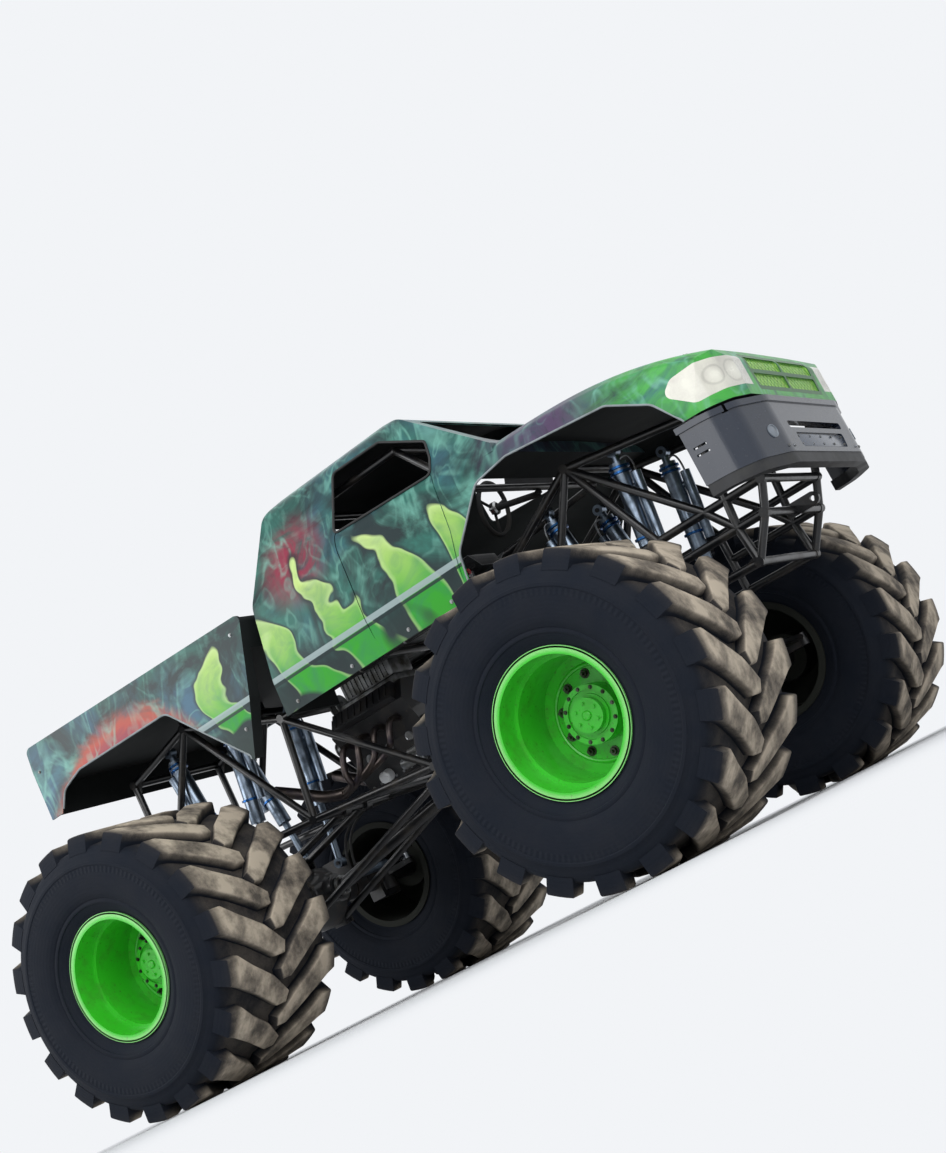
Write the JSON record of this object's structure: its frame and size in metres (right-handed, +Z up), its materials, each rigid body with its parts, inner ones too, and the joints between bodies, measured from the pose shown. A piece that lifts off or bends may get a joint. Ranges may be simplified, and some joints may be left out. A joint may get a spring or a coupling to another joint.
{
  "type": "monster truck",
  "caption": "Pickup-bodied monster truck: tube frame, hollow fibreglass cab and bed, huge lugged tyres, both axles steering by rams.",
  "frame": {"origin": "on the floor under the middle of the truck's overall length and width", "axes": "+X towards the nose, +Y towards the truck's left, +Z up"},
  "size_m": [5.43, 3.78, 3.02],
  "materials": {
    "tyre_rubber": "matte, dusty tread",
    "rim_green": "gloss lime green enamel",
    "axle_black": "satin black",
    "frame_black": "satin black powder coat",
    "link_steel": "zinc plated",
    "shock_body": "blue-grey anodised look",
    "bright_rod": "polished",
    "body_paint": "clear-coated paint on glass fibre, teal with green flames",
    "grille_paint": "gloss green paint",
    "bumper_grey": "gunmetal grey",
    "lamp_cream": "painted cover",
    "lamp_red": "red lens",
    "floor_alloy": "mill finish",
    "engine_iron": "black",
    "case_alloy": "cast",
    "seat_black": "black woven cover",
    "trim_black": "grained"
  },
  "bodies": {
    "chassis": {"frame_left": "frame_black", "frame_right": "frame_black", "cross_tubes": "frame_black", "roll_cage": "frame_black", "axle_front": "axle_black", "axle_rear": "axle_black", "links_front": "link_steel", "links_rear": "link_steel", "shocks_front": "shock_body", "shocks_rear": "shock_body", "cab_shell": "body_paint", "cab_floor": "floor_alloy", "hood": "body_paint", "front_clip": "body_paint", "grille": "grille_paint", "bumper": "bumper_grey", "valance": "trim_black", "bed_shell": "body_paint", "headlamps": "lamp_cream", "tail_lamps": "lamp_red", "engine": "engine_iron", "gearbox": "case_alloy", "propshafts": "link_steel", "seat": "seat_black", "steering_wheel": "trim_black", "tow_eyes": "frame_black"},
    "knuckle_front_left": {"knuckle_front_left": "axle_black"},
    "wheel_front_left": {"tyre_front_left": "tyre_rubber", "rim_front_left": "rim_green"},
    "knuckle_front_right": {"knuckle_front_right": "axle_black"},
    "wheel_front_right": {"tyre_front_right": "tyre_rubber", "rim_front_right": "rim_green"},
    "tie_rod_front": {"tie_rod_front": "link_steel"},
    "ram_barrel_front": {"ram_barrel_front": "shock_body"},
    "ram_rod_front": {"ram_rod_front": "bright_rod"},
    "knuckle_rear_left": {"knuckle_rear_left": "axle_black"},
    "wheel_rear_left": {"tyre_rear_left": "tyre_rubber", "rim_rear_left": "rim_green"},
    "knuckle_rear_right": {"knuckle_rear_right": "axle_black"},
    "wheel_rear_right": {"tyre_rear_right": "tyre_rubber", "rim_rear_right": "rim_green"},
    "tie_rod_rear": {"tie_rod_rear": "link_steel"},
    "ram_barrel_rear": {"ram_barrel_rear": "shock_body"},
    "ram_rod_rear": {"ram_rod_rear": "bright_rod"}
  },
  "joints": [
    {"name": "steer_front_left", "type": "hinge", "parent": "chassis", "child": "knuckle_front_left", "pos_m": [1.455, 0.9, 0.838], "axis": [0, 0, 1], "range_deg": [-25, 25]},
    {"name": "spin_front_left", "type": "hinge", "parent": "knuckle_front_left", "child": "wheel_front_left", "pos_m": [1.455, 1.36, 0.838], "axis": [0, 1, 0], "continuous": true},
    {"name": "steer_front_right", "type": "hinge", "parent": "chassis", "child": "knuckle_front_right", "pos_m": [1.455, -0.9, 0.838], "axis": [0, 0, 1], "range_deg": [-25, 25]},
    {"name": "spin_front_right", "type": "hinge", "parent": "knuckle_front_right", "child": "wheel_front_right", "pos_m": [1.455, -1.36, 0.838], "axis": [0, 1, 0], "continuous": true},
    {"name": "tie_rod_front_swing", "type": "hinge", "parent": "knuckle_front_left", "child": "tie_rod_front", "pos_m": [1.735, 0.9, 0.8763], "axis": [0, 0, 1], "range_deg": [-26, 26]},
    {"name": "ram_front_swing", "type": "hinge", "parent": "chassis", "child": "ram_barrel_front", "pos_m": [1.175, 0.14, 0.8763], "axis": [0, 0, 1], "range_deg": [-4, 4]},
    {"name": "ram_front_stroke", "type": "slide", "parent": "ram_barrel_front", "child": "ram_rod_front", "axis": [0, 1, 0], "range_m": [-0.125, 0.125]},
    {"name": "steer_rear_left", "type": "hinge", "parent": "chassis", "child": "knuckle_rear_left", "pos_m": [-1.845, 0.9, 0.838], "axis": [0, 0, 1], "range_deg": [-25, 25]},
    {"name": "spin_rear_left", "type": "hinge", "parent": "knuckle_rear_left", "child": "wheel_rear_left", "pos_m": [-1.845, 1.36, 0.838], "axis": [0, 1, 0], "continuous": true},
    {"name": "steer_rear_right", "type": "hinge", "parent": "chassis", "child": "knuckle_rear_right", "pos_m": [-1.845, -0.9, 0.838], "axis": [0, 0, 1], "range_deg": [-25, 25]},
    {"name": "spin_rear_right", "type": "hinge", "parent": "knuckle_rear_right", "child": "wheel_rear_right", "pos_m": [-1.845, -1.36, 0.838], "axis": [0, 1, 0], "continuous": true},
    {"name": "tie_rod_rear_swing", "type": "hinge", "parent": "knuckle_rear_left", "child": "tie_rod_rear", "pos_m": [-2.125, 0.9, 0.8763], "axis": [0, 0, 1], "range_deg": [-26, 26]},
    {"name": "ram_rear_swing", "type": "hinge", "parent": "chassis", "child": "ram_barrel_rear", "pos_m": [-1.565, 0.14, 0.8763], "axis": [0, 0, 1], "range_deg": [-4, 4]},
    {"name": "ram_rear_stroke", "type": "slide", "parent": "ram_barrel_rear", "child": "ram_rod_rear", "axis": [0, 1, 0], "range_m": [-0.125, 0.125]}
  ],
  "couplings": [
    {"joint": "steer_front_right", "follows": "steer_front_left", "ratio": 1},
    {"joint": "tie_rod_front_swing", "follows": "steer_front_left", "ratio": -1},
    {"joint": "ram_front_swing", "follows": "steer_front_left", "ratio": -0.1},
    {"joint": "ram_front_stroke", "follows": "steer_front_left", "m_per_rad": -0.27},
    {"joint": "steer_rear_right", "follows": "steer_rear_left", "ratio": 1},
    {"joint": "tie_rod_rear_swing", "follows": "steer_rear_left", "ratio": -1},
    {"joint": "ram_rear_swing", "follows": "steer_rear_left", "ratio": -0.1},
    {"joint": "ram_rear_stroke", "follows": "steer_rear_left", "m_per_rad": 0.27}
  ]
}
